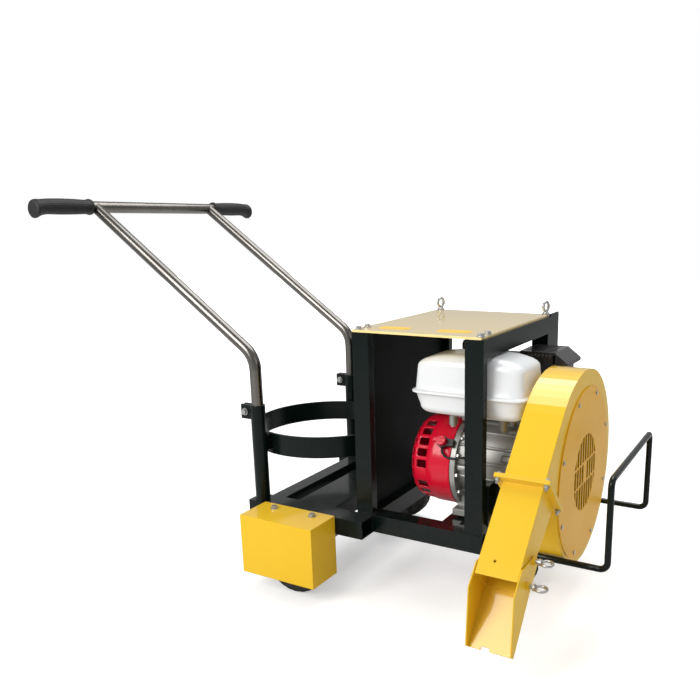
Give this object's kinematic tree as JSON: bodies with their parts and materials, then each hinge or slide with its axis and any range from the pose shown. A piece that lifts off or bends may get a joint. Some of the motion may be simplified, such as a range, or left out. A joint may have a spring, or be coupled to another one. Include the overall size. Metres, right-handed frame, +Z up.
{
  "type": "walk-behind pavement blower",
  "caption": "Walk-behind petrol blower for cleaning pavement cracks, with a caged engine, a spiral fan, a side scoop, wheels and a push handle.",
  "frame": {"origin": "on the ground, in the middle of the whole machine's plan box", "axes": "+Z up, +X forward from the handle to the fan, +Y to the operator's left, away from the scoop"},
  "size_m": [1.314, 0.7946, 0.8875],
  "materials": {
    "frame_paint": "gloss, very dark green",
    "yellow_paint": "gloss powder coat",
    "tyre_rubber": "matt",
    "hub_plastic": "satin",
    "brushed_tube": "brushed",
    "grip_rubber": "matt",
    "cast_alloy": "as cast",
    "engine_red": "gloss",
    "tank_white": "gloss",
    "dark_steel": "satin, heat proof",
    "black_plastic": "satin",
    "zinc_steel": "zinc plated"
  },
  "bodies": {
    "chassis": {"subframe": "frame_paint", "handle_sockets": "frame_paint", "clamp_bolts": "zinc_steel", "tank_hoop": "frame_paint", "cage_frame": "frame_paint", "rear_panel": "frame_paint", "top_plate": "yellow_paint", "plate_bolts": "zinc_steel", "lifting_eyes": "zinc_steel", "near_wheel_guard": "yellow_paint", "guard_bolts": "zinc_steel", "rear_axle": "zinc_steel", "axle_retainers": "zinc_steel", "caster_plate": "zinc_steel", "caster_bolts": "zinc_steel", "guard_rod": "frame_paint", "volute_brackets": "frame_paint", "volute_shell": "yellow_paint", "fan_cover": "yellow_paint", "cover_screws": "zinc_steel", "flange_bolts": "zinc_steel", "chute": "yellow_paint", "crankcase": "cast_alloy", "fan_adapter": "cast_alloy", "cylinder": "cast_alloy", "valve_cover": "cast_alloy", "blower_housing": "engine_red", "fuel_tank": "tank_white", "tank_bosses": "cast_alloy", "muffler": "dark_steel", "muffler_shield": "dark_steel", "air_cleaner": "black_plastic", "carburettor": "cast_alloy", "switch_body": "black_plastic", "spark_plug": "black_plastic"},
    "near_wheel": {"near_tyre": "tyre_rubber", "near_hub": "hub_plastic"},
    "far_wheel": {"far_tyre": "tyre_rubber", "far_hub": "hub_plastic"},
    "caster": {"caster_fork": "zinc_steel", "caster_axle": "zinc_steel"},
    "caster_wheel": {"caster_tyre": "tyre_rubber", "caster_hub": "hub_plastic"},
    "rotor": {"crankshaft": "zinc_steel", "impeller": "cast_alloy", "impeller_bolt": "zinc_steel"},
    "handle": {"handle_bar": "brushed_tube", "near_grip": "grip_rubber", "far_grip": "grip_rubber"},
    "scoop": {"scoop": "yellow_paint"},
    "upper_eye_screw": {"upper_eye_screw": "zinc_steel"},
    "lower_eye_screw": {"lower_eye_screw": "zinc_steel"},
    "fuel_cap": {"fuel_cap": "black_plastic"},
    "switch_knob": {"switch_knob": "engine_red"},
    "throttle_lever": {"throttle_lever": "zinc_steel"},
    "choke_lever": {"choke_lever": "black_plastic"},
    "fuel_lever": {"fuel_lever": "black_plastic"},
    "starter_grip": {"starter_grip": "black_plastic"},
    "oil_cap": {"oil_cap": "black_plastic"}
  },
  "joints": [
    {"name": "near_wheel_spin", "type": "hinge", "parent": "chassis", "child": "near_wheel", "pos_m": [-0.0175, -0.22166, 0.08], "axis": [0, 1, 0], "continuous": true},
    {"name": "far_wheel_spin", "type": "hinge", "parent": "chassis", "child": "far_wheel", "pos_m": [-0.0175, 0.27834, 0.08], "axis": [0, 1, 0], "continuous": true},
    {"name": "caster_swivel", "type": "hinge", "parent": "chassis", "child": "caster", "pos_m": [0.3795, 0.02834, 0.118], "axis": [0, 0, 1], "continuous": true},
    {"name": "caster_wheel_spin", "type": "hinge", "parent": "caster", "child": "caster_wheel", "pos_m": [0.4145, 0.02834, 0.05], "axis": [0, 1, 0], "continuous": true},
    {"name": "fan_spin", "type": "hinge", "parent": "chassis", "child": "rotor", "pos_m": [0.5225, 0.02834, 0.295], "axis": [1, 0, 0], "continuous": true},
    {"name": "handle_height", "type": "slide", "parent": "chassis", "child": "handle", "axis": [0, 0, 1], "range_m": [0, 0.12]},
    {"name": "scoop_extend", "type": "slide", "parent": "chassis", "child": "scoop", "axis": [0, -0.7071, -0.7071], "range_m": [0, 0.03]},
    {"name": "upper_eye_screw_turn", "type": "hinge", "parent": "scoop", "child": "upper_eye_screw", "pos_m": [0.5675, -0.30047, 0.23207], "axis": [1, 0, 0], "range_deg": [0, 180]},
    {"name": "lower_eye_screw_turn", "type": "hinge", "parent": "scoop", "child": "lower_eye_screw", "pos_m": [0.5675, -0.33016, 0.19813], "axis": [1, 0, 0], "range_deg": [0, 180]},
    {"name": "fuel_cap_turn", "type": "hinge", "parent": "chassis", "child": "fuel_cap", "pos_m": [0.3325, -0.02366, 0.555], "axis": [0, 0, 1], "range_deg": [0, 90]},
    {"name": "stop_switch_turn", "type": "hinge", "parent": "chassis", "child": "switch_knob", "pos_m": [0.2735, -0.06504, 0.34839], "axis": [0, -0.8192, 0.5736], "range_deg": [0, 45]},
    {"name": "throttle_swing", "type": "hinge", "parent": "chassis", "child": "throttle_lever", "pos_m": [0.2785, 0.09434, 0.39], "axis": [0, 0, 1], "range_deg": [-20, 20]},
    {"name": "choke_swing", "type": "hinge", "parent": "chassis", "child": "choke_lever", "pos_m": [0.3025, 0.21334, 0.42], "axis": [0, 1, 0], "range_deg": [0, 60]},
    {"name": "fuel_tap_swing", "type": "hinge", "parent": "chassis", "child": "fuel_lever", "pos_m": [0.3045, 0.16834, 0.4], "axis": [0, 1, 0], "range_deg": [0, 90]},
    {"name": "starter_pull", "type": "slide", "parent": "chassis", "child": "starter_grip", "axis": [0, 0.8829, 0.4695], "range_m": [0, 0.45], "stiffness_N_per_m": 20, "springref_m": -0.05},
    {"name": "oil_cap_turn", "type": "hinge", "parent": "chassis", "child": "oil_cap", "pos_m": [0.3525, -0.07748, 0.25724], "axis": [0, -0.9272, 0.3746], "range_deg": [0, 180]}
  ]
}
